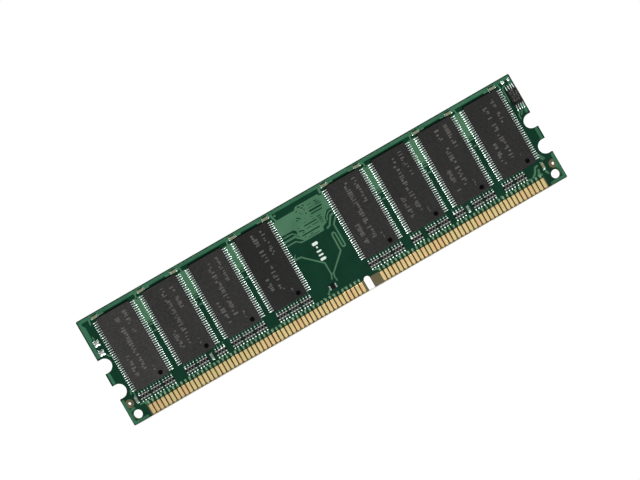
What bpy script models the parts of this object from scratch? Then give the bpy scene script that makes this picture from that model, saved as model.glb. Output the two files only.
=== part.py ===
"""A 184-contact memory module, as it stands in its socket.

X runs along the contact edge, the populated face looks towards -Y, and +Z points out of the socket.
The origin is the middle of the contact edge. Lengths are in metres, written as millimetres times MM.
"""
import bpy
import bmesh
from math import radians, tan
from mathutils import Matrix, Vector

MM = 0.001
GAP = 0.012 * MM                        # clearance between neighbouring solids

# Circuit board
BOARD_LENGTH = 133.35 * MM
BOARD_HEIGHT = 31.75 * MM
BOARD_THICKNESS = 1.27 * MM
EDGE_CHAMFER = 0.20 * MM
FRONT = -BOARD_THICKNESS / 2

# Openings in the board
LATCH_NOTCH_HEIGHTS = (10.0 * MM, 17.78 * MM)
LATCH_NOTCH_RADIUS = 2.0 * MM
LATCH_NOTCH_DEPTH = 3.0 * MM
KEY_SLOT_X = 6.55 * MM
KEY_SLOT_WIDTH = 1.8 * MM
KEY_SLOT_TOP = 3.8 * MM
LOCATING_HOLE = {"x": 64.27 * MM, "z": 2.25 * MM, "radius": 1.2 * MM}
TOOLING_HOLES = ((-64.9 * MM, 5.75 * MM), (65.1 * MM, 5.0 * MM))
TOOLING_HOLE_RADIUS = 0.4 * MM

# Edge contacts: one long and one short row on each face, either side of the key slot
CONTACT_PITCH = 1.27 * MM
CONTACT_WIDTH = 1.0 * MM
CONTACT_BOTTOM = 0.35 * MM
CONTACT_TOP = 2.95 * MM
CONTACT_THICKNESS = 0.045 * MM
CONTACT_TIE_HEIGHT = 0.15 * MM
CONTACT_ROWS = {"long": (-60.325 * MM, 52), "short": (10.795 * MM, 40)}

# Memory chips: thin packages with two rows of bent leads
CHIP_PITCH = 14.1 * MM
CHIP_SLOTS = (-4, -3, -2, -1, 1, 2, 3, 4)
CHIP_HEIGHT = 18.67 * MM
PACKAGE_WIDTH = 10.16 * MM
PACKAGE_LENGTH = 22.22 * MM
PACKAGE_THICKNESS = 1.0 * MM
PACKAGE_STANDOFF = 0.1 * MM
DRAFT_ANGLE = radians(7)
MARK = {"inset_x": 2.15 * MM, "inset_z": 1.45 * MM, "radius": 0.62 * MM, "depth": 0.08 * MM}
LEADS_PER_SIDE = 33
LEAD_PITCH = 0.65 * MM
LEAD_WIDTH = 0.30 * MM
LEAD_THICKNESS = 0.13 * MM
LEAD_SPAN = 11.76 * MM
DIE_SIZE = (7.6 * MM, 0.25 * MM, 12.0 * MM)

# Configuration chip at the right-hand end
CONFIG_X = 65.1 * MM
CONFIG_HEIGHT = 25.5 * MM
CONFIG_WIDTH = 3.0 * MM
CONFIG_LENGTH = 4.4 * MM
CONFIG_THICKNESS = 0.9 * MM
CONFIG_LEAD_SPAN = 6.4 * MM
CONFIG_LEAD_WIDTH = 0.24 * MM
CONFIG_DIE_SIZE = (1.5 * MM, 0.2 * MM, 1.8 * MM)

# Resistor arrays, in blocks of neighbours: chip number, offset of the first array, arrays in the block
ARRAY_LENGTH = 3.2 * MM
ARRAY_WIDTH = 1.6 * MM
ARRAY_THICKNESS = 0.5 * MM
ARRAY_PITCH = 3.66 * MM
ARRAY_HEIGHT = 5.78 * MM
ARRAY_BLOCKS = (
    (1, -3.7 * MM, 3), (2, -3.66 * MM, 2), (2, 5.62 * MM, 1), (3, -3.6 * MM, 3), (4, -3.58 * MM, 3),
    (5, -3.58 * MM, 3), (6, -4.57 * MM, 1), (6, 0.07 * MM, 2), (7, -5.62 * MM, 1), (7, 0.06 * MM, 2),
    (8, -4.62 * MM, 2),
)

# Capacitors and the single resistor: length, width, thickness of the bare body
CAPACITOR_BODY = (1.6 * MM, 0.8 * MM, 0.75 * MM)
RESISTOR_BODY = (2.0 * MM, 1.25 * MM, 0.5 * MM)
END_CAP_LENGTH = 0.32 * MM
END_CAP_THICKNESS = 0.025 * MM
DECOUPLING_HEIGHT = 30.45 * MM
DECOUPLING_OFFSET = 5.05 * MM
DECOUPLING_PLACES = (
    (1, -DECOUPLING_OFFSET), (2, -DECOUPLING_OFFSET), (2, DECOUPLING_OFFSET), (4, -DECOUPLING_OFFSET),
    (4, DECOUPLING_OFFSET), (5, -DECOUPLING_OFFSET), (5, DECOUPLING_OFFSET), (7, -DECOUPLING_OFFSET),
    (7, DECOUPLING_OFFSET), (8, 4.4 * MM),
)
LINE_CAPACITOR_X = (-62.68 * MM, -39.5 * MM, 39.33 * MM, 62.3 * MM)
RESISTOR_X = -2.3 * MM


def start_empty():
    """Clear the scene and return the collections for the module's parts and for its cutters."""
    for old in list(bpy.data.objects):
        bpy.data.objects.remove(old)
    collections = []
    for name in ("ram_module", "cutters"):
        collection = bpy.data.collections.new(name)
        bpy.context.scene.collection.children.link(collection)
        collections.append(collection)
    return collections


def material(name, colour, roughness, metallic=0.0):
    """A Principled material with one plain finish."""
    made = bpy.data.materials.new(name)
    made.use_nodes = True
    shader = made.node_tree.nodes["Principled BSDF"]
    shader.inputs["Base Color"].default_value = (*colour, 1.0)
    shader.inputs["Roughness"].default_value = roughness
    shader.inputs["Metallic"].default_value = metallic
    return made


def place(name, mesh, finish=None, at=(0, 0, 0)):
    """Put a mesh in the module's collection as a named object."""
    if finish and not mesh.materials:
        mesh.materials.append(finish)
    part = bpy.data.objects.new(name, mesh)
    part.location = at
    PARTS.objects.link(part)
    return part


def box(name, low, high):
    """A box between two opposite corners."""
    low, high = Vector(low), Vector(high)
    solid = bmesh.new()
    bmesh.ops.create_cube(solid, size=1.0)
    bmesh.ops.scale(solid, vec=high - low, verts=solid.verts)
    bmesh.ops.translate(solid, vec=(low + high) / 2, verts=solid.verts)
    return finished(solid, name)


def rod(name, radius, low, high, segments):
    """A cylinder along Y between two points."""
    low, high = Vector(low), Vector(high)
    solid = bmesh.new()
    turn = Matrix.Translation((low + high) / 2) @ Matrix.Rotation(radians(90), 4, "X")
    bmesh.ops.create_cone(solid, cap_ends=True, segments=segments, radius1=radius, radius2=radius,
                          depth=abs(high.y - low.y), matrix=turn)
    mesh = finished(solid, name)
    mesh.shade_smooth()
    mesh.set_sharp_from_angle(angle=radians(40))
    return mesh


def finished(solid, name):
    """Turn a bmesh into a mesh whose faces point outwards."""
    bmesh.ops.recalc_face_normals(solid, faces=solid.faces)
    mesh = bpy.data.meshes.new(name)
    solid.to_mesh(mesh)
    solid.free()
    return mesh


def evaluated_mesh(source):
    """The mesh that an object has after its modifiers."""
    bpy.context.view_layer.update()
    graph = bpy.context.evaluated_depsgraph_get()
    return bpy.data.meshes.new_from_object(source.evaluated_get(graph))


def plate(name, outline, thickness, upright=False):
    """A flat outline in XY, thickened along Z, or standing in XZ and thickened along Y."""
    curve = bpy.data.curves.new(name, "CURVE")
    curve.dimensions = "2D"
    curve.fill_mode = "BOTH"
    curve.extrude = thickness / 2
    spline = curve.splines.new("POLY")
    spline.points.add(len(outline) - 1)
    for point, (x, y) in zip(spline.points, outline):
        point.co = (x, y, 0.0, 1.0)
    spline.use_cyclic_u = True
    holder = bpy.data.objects.new(name, curve)
    PARTS.objects.link(holder)
    mesh = evaluated_mesh(holder)
    bpy.data.objects.remove(holder)
    solid = bmesh.new()
    solid.from_mesh(mesh)
    bmesh.ops.remove_doubles(solid, verts=solid.verts, dist=0.001 * MM)
    if upright:
        bmesh.ops.transform(solid, matrix=Matrix.Rotation(radians(90), 4, "X"), verts=solid.verts)
    return finished(solid, name)


def copies(name, mesh, matrices):
    """One mesh that holds a copy of another at each matrix."""
    group = bmesh.new()
    for matrix in matrices:
        single = mesh.copy()
        single.transform(matrix)
        group.from_mesh(single)
        bpy.data.meshes.remove(single)
    return finished(group, name)


def combine(base, operation, *tools):
    """The mesh left after joining or cutting a mesh with others."""
    body = bpy.data.objects.new(base.name, base)
    PARTS.objects.link(body)
    helpers = []
    for tool in tools:
        helper = bpy.data.objects.new(tool.name, tool)
        CUTTERS.objects.link(helper)
        add_boolean(body, helper, operation)
        helpers.append(helper)
    result = evaluated_mesh(body)
    result.name = base.name
    for used in (body, *helpers):
        bpy.data.objects.remove(used)
    return result


def add_boolean(body, tool, operation):
    """An exact Boolean modifier on body."""
    modifier = body.modifiers.new(tool.name, "BOOLEAN")
    modifier.operation = operation
    modifier.solver = "EXACT"
    modifier.object = tool


def cutter(name, mesh):
    """A cutting solid, shown as wire and left out of renders."""
    tool = bpy.data.objects.new(name, mesh)
    tool.display_type = "WIRE"
    tool.hide_render = True
    CUTTERS.objects.link(tool)
    return tool


def round_ended_slot(name, radius, centre, mouth):
    """A cutter with a round end at centre and a straight run of the same width out to mouth, in X and Z."""
    reach = BOARD_THICKNESS
    centre_x, centre_z = centre
    mouth_x, mouth_z = mouth
    end = rod(name, radius, (centre_x, -reach, centre_z), (centre_x, reach, centre_z), 32)
    side_x = radius if mouth_x == centre_x else 0.0
    side_z = radius if mouth_z == centre_z else 0.0
    low = (min(centre_x, mouth_x) - side_x, -reach, min(centre_z, mouth_z) - side_z)
    high = (max(centre_x, mouth_x) + side_x, reach, max(centre_z, mouth_z) + side_z)
    return combine(end, "UNION", box("straight_run", low, high))


def chip_x(number):
    """Centre of the memory chip with this number, counted from the left."""
    return CHIP_SLOTS[number - 1] * CHIP_PITCH


def contact_row_ends(first, count):
    """Left and right edges of a row of contacts."""
    return first - CONTACT_WIDTH / 2, first + (count - 1) * CONTACT_PITCH + CONTACT_WIDTH / 2


def make_board(finish):
    """The laminate, with its chamfered contact edge, notches, key slot, holes and contact recesses."""
    half = BOARD_LENGTH / 2
    slab = box("circuit_board", (-half, FRONT, 0), (half, -FRONT, BOARD_HEIGHT))
    solid = bmesh.new()
    solid.from_mesh(slab)
    contact_edges = [edge for edge in solid.edges
                     if all(vert.co.z < EDGE_CHAMFER for vert in edge.verts)
                     and abs(edge.verts[0].co.x - edge.verts[1].co.x) > half]
    bmesh.ops.bevel(solid, geom=contact_edges, offset=EDGE_CHAMFER, segments=1, affect="EDGES")
    board = place("circuit_board", finished(solid, "circuit_board"), finish)

    notch_inset = LATCH_NOTCH_DEPTH - LATCH_NOTCH_RADIUS
    for height in LATCH_NOTCH_HEIGHTS:
        for side, sign in (("left", -1), ("right", 1)):
            centre = (sign * (half - notch_inset), height)
            mouth = (sign * (half + LATCH_NOTCH_RADIUS), height)
            name = f"{side}_latch_notch_{round(height / MM)}"
            notch = round_ended_slot(name, LATCH_NOTCH_RADIUS, centre, mouth)
            add_boolean(board, cutter(name, notch), "DIFFERENCE")

    key_radius = KEY_SLOT_WIDTH / 2
    key = round_ended_slot("key_slot", key_radius, (KEY_SLOT_X, KEY_SLOT_TOP - key_radius),
                           (KEY_SLOT_X, -key_radius))
    add_boolean(board, cutter("key_slot", key), "DIFFERENCE")

    holes = [(sign * LOCATING_HOLE["x"], LOCATING_HOLE["z"], LOCATING_HOLE["radius"]) for sign in (-1, 1)]
    holes += [(x, z, TOOLING_HOLE_RADIUS) for x, z in TOOLING_HOLES]
    for number, (x, z, radius) in enumerate(holes, 1):
        name = f"board_hole_{number}"
        drill = rod(name, radius, (x, -BOARD_THICKNESS, z), (x, BOARD_THICKNESS, z), 24)
        add_boolean(board, cutter(name, drill), "DIFFERENCE")

    recess_floor = -FRONT - CONTACT_THICKNESS - GAP
    for face, sign in (("front", -1), ("back", 1)):
        for row, (first, count) in CONTACT_ROWS.items():
            left, right = contact_row_ends(first, count)
            depths = sorted((sign * recess_floor, sign * BOARD_THICKNESS))
            low = (left - GAP, depths[0], CONTACT_BOTTOM - GAP)
            high = (right + GAP, depths[1], CONTACT_TOP + CONTACT_TIE_HEIGHT + GAP)
            name = f"{face}_{row}_recess"
            add_boolean(board, cutter(name, box(name, low, high)), "DIFFERENCE")


def make_contacts(finish):
    """The gold edge contacts: four combs, each a row of contacts with the strip that ties them together."""
    for row, (first, count) in CONTACT_ROWS.items():
        outline = []
        for place_in_row in range(count):
            centre = first + place_in_row * CONTACT_PITCH
            left, right = centre - CONTACT_WIDTH / 2, centre + CONTACT_WIDTH / 2
            outline += [(left, CONTACT_TOP), (left, CONTACT_BOTTOM), (right, CONTACT_BOTTOM),
                        (right, CONTACT_TOP)]
        left, right = contact_row_ends(first, count)
        outline[0] = (left, CONTACT_TOP + CONTACT_TIE_HEIGHT)
        outline[-1] = (right, CONTACT_TOP + CONTACT_TIE_HEIGHT)
        comb = plate(f"contacts_{row}", outline, CONTACT_THICKNESS, upright=True)
        comb.materials.append(finish)
        middle = -FRONT - CONTACT_THICKNESS / 2
        place(f"front_contacts_{row}", comb, at=(0, -middle, 0))
        place(f"back_contacts_{row}", comb, at=(0, middle, 0))


def moulded_body(name, width, length, thickness):
    """A moulded package centred on the origin, widest at its parting line and drafted to both faces."""
    slab = box(name, (-width / 2, -thickness / 2, -length / 2), (width / 2, thickness / 2, length / 2))
    solid = bmesh.new()
    solid.from_mesh(slab)
    bmesh.ops.bisect_plane(solid, geom=solid.verts[:] + solid.edges[:] + solid.faces[:],
                           plane_co=(0, 0, 0), plane_no=(0, 1, 0))
    taper = tan(DRAFT_ANGLE) * thickness / 2
    for vert in solid.verts:
        if abs(vert.co.y) > thickness / 4:
            vert.co.x -= taper if vert.co.x > 0 else -taper
            vert.co.z -= taper if vert.co.z > 0 else -taper
    return finished(solid, name)


def gull_wing(name, root, tip, centre_height, standoff, width):
    """One bent lead in XY, from the frame's edge at root to its foot at tip, with the board at y = 0.

    Its foot is a wedge, which takes in the solder between the lead's slope and its pad.
    """
    top, under = centre_height + LEAD_THICKNESS / 2, centre_height - LEAD_THICKNESS / 2
    reach = tip - root
    outline = [(root, top), (root + 0.22 * reach, top), (tip, standoff + LEAD_THICKNESS), (tip, standoff),
               (root + 0.30 * reach, standoff), (root, under)]
    return plate(name, [(x, -height) for x, height in outline], width)


def lead_frame(name, plate_size, root, tip, centre_height, lead_width, per_side):
    """A frame plate with bent leads down both of its X sides, centred on the origin at the board's face."""
    width, length = plate_size
    core = box(name, (-width / 2, -centre_height - LEAD_THICKNESS / 2, -length / 2),
               (width / 2, -centre_height + LEAD_THICKNESS / 2, length / 2))
    lead = gull_wing("lead", root, tip, centre_height, GAP, lead_width)
    matrices = []
    for side in (-1, 1):
        for number in range(per_side):
            along = (number - (per_side - 1) / 2) * LEAD_PITCH
            matrices.append(Matrix.Translation((0, 0, along)) @ Matrix.Scale(side, 4, (1, 0, 0)))
    return combine(core, "UNION", copies("leads", lead, matrices))


def make_chip(numbered, mesh_set, finishes, at):
    """Place one chip: its package, its lead frame and the die inside."""
    for (name, mesh), finish in zip(zip(numbered, mesh_set), finishes):
        place(name, mesh, finish, at)


def chip_meshes(label, width, length, thickness, lead_width, tip, per_side, die_size):
    """Package, lead frame and die of one chip, leads along X, with the board's face at y = 0."""
    middle = PACKAGE_STANDOFF + thickness / 2
    row_length = (per_side - 1) * LEAD_PITCH + lead_width
    slot_length = row_length + 2 * GAP
    root = width / 2 - 0.01 * MM
    frame_width = width + 2 * GAP
    frame = lead_frame(f"{label}_lead_frame", (frame_width, row_length), root, tip, middle, lead_width,
                       per_side)

    body = moulded_body(f"{label}_package", width, length, thickness)
    body.transform(Matrix.Translation((0, -middle, 0)))
    half_slot = LEAD_THICKNESS / 2 + GAP
    slot = box("frame_slot", (-width, -middle - half_slot, -slot_length / 2),
               (width, -middle + half_slot, slot_length / 2))
    die_width, die_thickness, die_length = die_size
    die_front = -middle + half_slot
    pocket = box("die_pocket", (-die_width / 2 - GAP, -middle, -die_length / 2 - GAP),
                 (die_width / 2 + GAP, die_front + die_thickness + GAP, die_length / 2 + GAP))
    body = combine(body, "DIFFERENCE", slot, pocket)
    die = box(f"{label}_die", (-die_width / 2, die_front, -die_length / 2),
              (die_width / 2, die_front + die_thickness, die_length / 2))
    return body, frame, die


def make_memory_chips(finishes):
    """Eight memory chips in a row, with a moulded mark by each one's first lead."""
    body, frame, die = chip_meshes("memory", PACKAGE_WIDTH, PACKAGE_LENGTH, PACKAGE_THICKNESS, LEAD_WIDTH,
                                   LEAD_SPAN / 2, LEADS_PER_SIDE, DIE_SIZE)
    face = -PACKAGE_STANDOFF - PACKAGE_THICKNESS
    mark_x = PACKAGE_WIDTH / 2 - MARK["inset_x"]
    mark_z = -PACKAGE_LENGTH / 2 + MARK["inset_z"]
    mark = rod("first_lead_mark", MARK["radius"], (mark_x, face - MARK["depth"], mark_z),
               (mark_x, face + MARK["depth"], mark_z), 16)
    body = combine(body, "DIFFERENCE", mark)
    for number in range(1, len(CHIP_SLOTS) + 1):
        names = [f"memory_{piece}_{number}" for piece in ("package", "lead_frame", "die")]
        make_chip(names, (body, frame, die), finishes, (chip_x(number), FRONT, CHIP_HEIGHT))


def make_config_chip(finishes):
    """The configuration chip, whose leads point up and down."""
    meshes = chip_meshes("config", CONFIG_LENGTH, CONFIG_WIDTH, CONFIG_THICKNESS, CONFIG_LEAD_WIDTH,
                         CONFIG_LEAD_SPAN / 2, 4, (CONFIG_DIE_SIZE[2], CONFIG_DIE_SIZE[1],
                                                   CONFIG_DIE_SIZE[0]))
    for mesh in meshes:
        mesh.transform(Matrix.Rotation(radians(90), 4, "Y"))
    names = [f"config_{piece}" for piece in ("package", "lead_frame", "die")]
    make_chip(names, meshes, finishes, (CONFIG_X, FRONT, CONFIG_HEIGHT))


def make_resistor_arrays(finish):
    """Resistor arrays under the chips; neighbours in a block share a thin base strip."""
    base = 0.08 * MM
    for number, (chip, first, count) in enumerate(ARRAY_BLOCKS, 1):
        outline = []
        for place_in_block in range(count):
            centre = place_in_block * ARRAY_PITCH
            left, right = centre - ARRAY_LENGTH / 2, centre + ARRAY_LENGTH / 2
            outline += [(left, -base), (left, -ARRAY_THICKNESS), (right, -ARRAY_THICKNESS), (right, -base)]
        outline[0] = (-ARRAY_LENGTH / 2, 0.0)
        outline[-1] = ((count - 1) * ARRAY_PITCH + ARRAY_LENGTH / 2, 0.0)
        block = plate("resistor_array_block", outline, ARRAY_WIDTH)
        place(f"resistor_array_block_{number:02d}", block, finish,
              (chip_x(chip) + first, FRONT - GAP, ARRAY_HEIGHT))


def two_terminal(name, size):
    """A two-terminal component along X on the board's face at y = 0: a bar with thicker metal ends."""
    length, width, thickness = size
    end, inner = length / 2, length / 2 - END_CAP_LENGTH
    lift = END_CAP_THICKNESS
    full = thickness + 2 * lift
    outline = [(-end, 0), (-end, -full), (-inner, -full), (-inner, -full + lift), (inner, -full + lift),
               (inner, -full), (end, -full), (end, 0), (inner, 0), (inner, -lift), (-inner, -lift),
               (-inner, 0)]
    return plate(name, outline, width)


def make_single_components(ceramic, resistor_finish):
    """Decoupling capacitors above the chips, and the line capacitors and resistor below them."""
    capacitor = two_terminal("capacitor", CAPACITOR_BODY)
    for number, (chip, offset) in enumerate(DECOUPLING_PLACES, 1):
        place(f"decoupling_capacitor_{number:02d}", capacitor, ceramic,
              (chip_x(chip) + offset, FRONT - GAP, DECOUPLING_HEIGHT))
    standing = capacitor.copy()
    standing.transform(Matrix.Rotation(radians(90), 4, "Y"))
    for number, x in enumerate(LINE_CAPACITOR_X, 1):
        place(f"line_capacitor_{number}", standing, ceramic, (x, FRONT - GAP, ARRAY_HEIGHT))
    place("series_resistor", two_terminal("resistor", RESISTOR_BODY), resistor_finish,
          (RESISTOR_X, FRONT - GAP, ARRAY_HEIGHT))


PARTS, CUTTERS = start_empty()
mask_green = material("solder_mask", (0.012, 0.075, 0.042), 0.35)
contact_gold = material("contact_gold", (0.72, 0.50, 0.22), 0.3, 1.0)
mould_black = material("mould_compound", (0.035, 0.034, 0.033), 0.5)
lead_tin = material("lead_tin", (0.75, 0.76, 0.75), 0.3, 1.0)
silicon = material("silicon", (0.16, 0.16, 0.19), 0.2, 0.4)
capacitor_tan = material("capacitor_ceramic", (0.42, 0.33, 0.22), 0.45)
array_black = material("resistor_glaze", (0.03, 0.03, 0.035), 0.35)

make_board(mask_green)
make_contacts(contact_gold)
make_memory_chips((mould_black, lead_tin, silicon))
make_config_chip((mould_black, lead_tin, silicon))
make_resistor_arrays(array_black)
make_single_components(capacitor_tan, array_black)
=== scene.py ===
"""Looks of the memory module: board, copper, gold contacts, chips with their leads, and the small parts.

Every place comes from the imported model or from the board's own dimensions. Heights on a face are
measured from the board's middle plane, and a face's side is +1 for the front (-Y) and -1 for the back.
"""
from math import cos, pi, radians, sin, tan
from random import Random

import bmesh
import bpy
from mathutils import Matrix, Quaternion, Vector


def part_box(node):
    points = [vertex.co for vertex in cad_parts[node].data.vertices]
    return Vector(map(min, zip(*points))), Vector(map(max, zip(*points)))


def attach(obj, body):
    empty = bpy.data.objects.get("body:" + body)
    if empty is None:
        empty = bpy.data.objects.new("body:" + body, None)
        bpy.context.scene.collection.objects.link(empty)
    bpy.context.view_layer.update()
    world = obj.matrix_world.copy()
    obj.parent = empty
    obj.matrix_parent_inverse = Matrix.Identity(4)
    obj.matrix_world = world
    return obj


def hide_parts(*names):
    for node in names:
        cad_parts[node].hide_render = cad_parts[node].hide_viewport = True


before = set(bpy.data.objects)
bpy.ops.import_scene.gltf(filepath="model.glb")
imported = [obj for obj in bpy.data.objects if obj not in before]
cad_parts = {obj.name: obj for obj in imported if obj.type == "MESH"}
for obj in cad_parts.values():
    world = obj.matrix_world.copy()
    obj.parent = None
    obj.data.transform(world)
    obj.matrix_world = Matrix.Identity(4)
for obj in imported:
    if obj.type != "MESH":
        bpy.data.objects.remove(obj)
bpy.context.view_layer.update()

MM = 0.001
FRONT, BACK = 1, -1
FACES = ((FRONT, "front"), (BACK, "back"))
CHIPS = range(1, 9)

# The board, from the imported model: half its length, half its thickness, and its height
HALF, FACE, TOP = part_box("circuit_board")[1]
LEFT_END = -HALF

# Layers of a face, as heights above the middle plane
CORE_TOP = FACE - 0.050 * MM
ROOT = CORE_TOP - 0.010 * MM
MASK_TOP = FACE - 0.030 * MM
UNDER_MASK = MASK_TOP - 0.005 * MM
COPPER_TOP = FACE - 0.004 * MM
COPPER_SLOPE = 0.03 * MM
LAMINATE_SKIN = 0.12 * MM

# Openings in the board
NOTCH_HEIGHTS = (10.0 * MM, 17.78 * MM)
NOTCH_RADIUS = 2.0 * MM
NOTCH_DEPTH = 3.0 * MM
KEY_X = 6.55 * MM
KEY_WIDTH = 1.8 * MM
KEY_TOP = 3.8 * MM
HOLE_X = 64.27 * MM
HOLE_Z = 2.25 * MM
HOLE_RADIUS = 1.2 * MM
HOLE_CLEARANCE = 0.08 * MM
TOOLING_HOLES = ((-64.9 * MM, 5.75 * MM), (65.1 * MM, 5.0 * MM))
TOOLING_RADIUS = 0.4 * MM
TOOLING_CLEARANCE = 1.2 * MM
FULL_ROUND = 0.999  # share of a half circle's radius that its two corners take, so that they don't meet

# Contacts
CONTACT_PITCH = 1.27 * MM
CONTACT_WIDTH = 1.0 * MM
CONTACT_TIE = 0.15 * MM
PLATING_STUB = 0.26 * MM
NECK_WIDTH = 0.56 * MM
NECK_HEIGHT = 0.86 * MM
NECK_RISE = 0.74 * MM  # from a contact to the middle of the masked neck above it
MASK_EDGE = 3.15 * MM
STUB_FOOT = 3.05 * MM

# Leads, and the round mark by the first pin
LEAD_PITCH = 0.65 * MM
LEADS_PER_SIDE = 33
LEAD_THICKNESS = 0.13 * MM
MARK_FLOOR = 0.90  # share of the mark's radius that is its flat floor
PACKAGE_FRONT = 0.006 * MM  # depth of a package's flat front under the top of its box

# Resistor arrays; their solder runs from PAD_GAP to PAD_REACH beyond their long edges
ARRAY_PITCH = 3.66 * MM
ARRAY_LENGTH = 3.2 * MM
ARRAY_HALF_WIDTH = 0.8 * MM
TERMINAL_OFFSETS = (-1.30 * MM, -0.43 * MM, 0.43 * MM, 1.30 * MM)
PAD_REACH = 0.62 * MM
PAD_GAP = 0.18 * MM

# Widths of the copper strips, and the radius of the vias
TRACK = 0.36 * MM
FINE_TRACK = 0.22 * MM
STUB = 0.42 * MM
BACK_TRACK = 0.27 * MM
VIA = 0.30 * MM
BACK_VIA = 0.27 * MM


# ---------------------------------------------------------------- outlines

def from_left(x, z):
    """A place given in millimetres from the left-hand end and from the contact edge."""
    return (LEFT_END + x * MM, z * MM)


def rounded_outline(corners, steps):
    """A closed outline through corners (x, z, radius), each rounded by an arc of so many steps."""
    outline = []
    count = len(corners)
    for index, (x, z, radius) in enumerate(corners):
        if radius <= 0:
            outline.append((x, z))
            continue
        corner = Vector((x, z))
        before = (Vector(corners[index - 1][:2]) - corner).normalized()
        after = (Vector(corners[(index + 1) % count][:2]) - corner).normalized()
        half_angle = before.angle(after) / 2
        middle = corner + (before + after).normalized() * (radius / sin(half_angle))
        start = corner + before * (radius / tan(half_angle)) - middle
        end = corner + after * (radius / tan(half_angle)) - middle
        sweep = start.angle_signed(end)
        for step in range(steps + 1):
            turned = start.copy()
            turned.rotate(Matrix.Rotation(-sweep * step / steps, 2))
            outline.append(tuple(middle + turned))
    return outline


def rectangle(x, z, width, height, radius=0.0, steps=3):
    """A rectangle round a centre, with rounded corners if a radius is given."""
    right, up = width / 2, height / 2
    return rounded_outline([(x - right, z - up, radius), (x + right, z - up, radius),
                            (x + right, z + up, radius), (x - right, z + up, radius)], steps)


def circle(x, z, radius, steps=24):
    """A circle round a centre."""
    turns = [2 * pi * step / steps for step in range(steps)]
    return [(x + radius * cos(turn), z + radius * sin(turn)) for turn in turns]


def ribbon(path, width):
    """The outline of a strip of one width along a path, with round ends and mitred corners."""
    end_steps, least_cosine = 4, 0.4
    points = [Vector(point) for point in path]
    runs = [(b - a).normalized() for a, b in zip(points, points[1:])]
    half_width = width / 2
    left, right = [], []
    for index, point in enumerate(points):
        before, after = runs[max(index - 1, 0)], runs[min(index, len(runs) - 1)]
        across = Vector((-(before + after).y, (before + after).x)).normalized()
        reach = half_width / max(across.dot(Vector((-after.y, after.x))), least_cosine)
        left.append(point + across * reach)
        right.append(point - across * reach)
    caps = []
    for point, run in ((points[-1], runs[-1]), (points[0], -runs[0])):
        side = Vector((-run.y, run.x)) * half_width
        turns = [pi * step / end_steps for step in range(1, end_steps)]
        caps.append([point + side * cos(turn) + run * half_width * sin(turn) for turn in turns])
    return [tuple(p) for p in left + caps[0] + right[::-1] + caps[1]]


def key_corners(inset, foot, mouth):
    """Corners of the key slot, drawn in by inset, from one foot over its round top to the other."""
    half, top = KEY_WIDTH / 2 + inset, KEY_TOP + inset
    return [(KEY_X - half, foot, mouth), (KEY_X - half, top, half * FULL_ROUND),
            (KEY_X + half, top, half * FULL_ROUND), (KEY_X + half, foot, mouth)]


def outline_with_ends(lower_edge, inset, corner, mouth):
    """A closed outline: the given corners, then both ends with their latch notches, drawn in by inset."""
    end, notch, radius = HALF - inset, HALF - NOTCH_DEPTH - inset, NOTCH_RADIUS + inset
    right = [(end, inset, corner)]
    for height in NOTCH_HEIGHTS:
        low, high = height - radius, height + radius
        right += [(end, low, mouth), (notch, low, radius * FULL_ROUND),
                  (notch, high, radius * FULL_ROUND), (end, high, mouth)]
    right.append((end, TOP - inset, corner))
    left = [(-x, z, radius) for x, z, radius in reversed(right)]
    return rounded_outline([*lower_edge, *right, *left], 10)


def board_outline(inset=0.0):
    """The board's outline, with its latch notches and key slot, drawn in by inset."""
    mouth = 0.15 * MM
    return outline_with_ends(key_corners(inset, inset, mouth), inset, 0.35 * MM, mouth)


def masked_area():
    """Outline of the mask: inside the board's edge, above the contacts, and down to the edge beside them."""
    inset, corner, mouth, margin = 0.06 * MM, 0.3 * MM, 0.1 * MM, 0.25 * MM
    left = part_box("front_contacts_long")[0].x - margin
    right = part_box("front_contacts_short")[1].x + margin
    lower_edge = [(left, inset, 0.0), (left, MASK_EDGE, mouth), *key_corners(inset, MASK_EDGE, 0.0),
                  (right, MASK_EDGE, mouth), (right, inset, 0.0)]
    return outline_with_ends(lower_edge, inset, corner, mouth)


def placed(upright, along, across, length, breadth):
    """Centre and size in X and Z of a rectangle whose length runs along X, or along Z if upright."""
    return (across, along, breadth, length) if upright else (along, across, length, breadth)


# ---------------------------------------------------------------- solids

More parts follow.
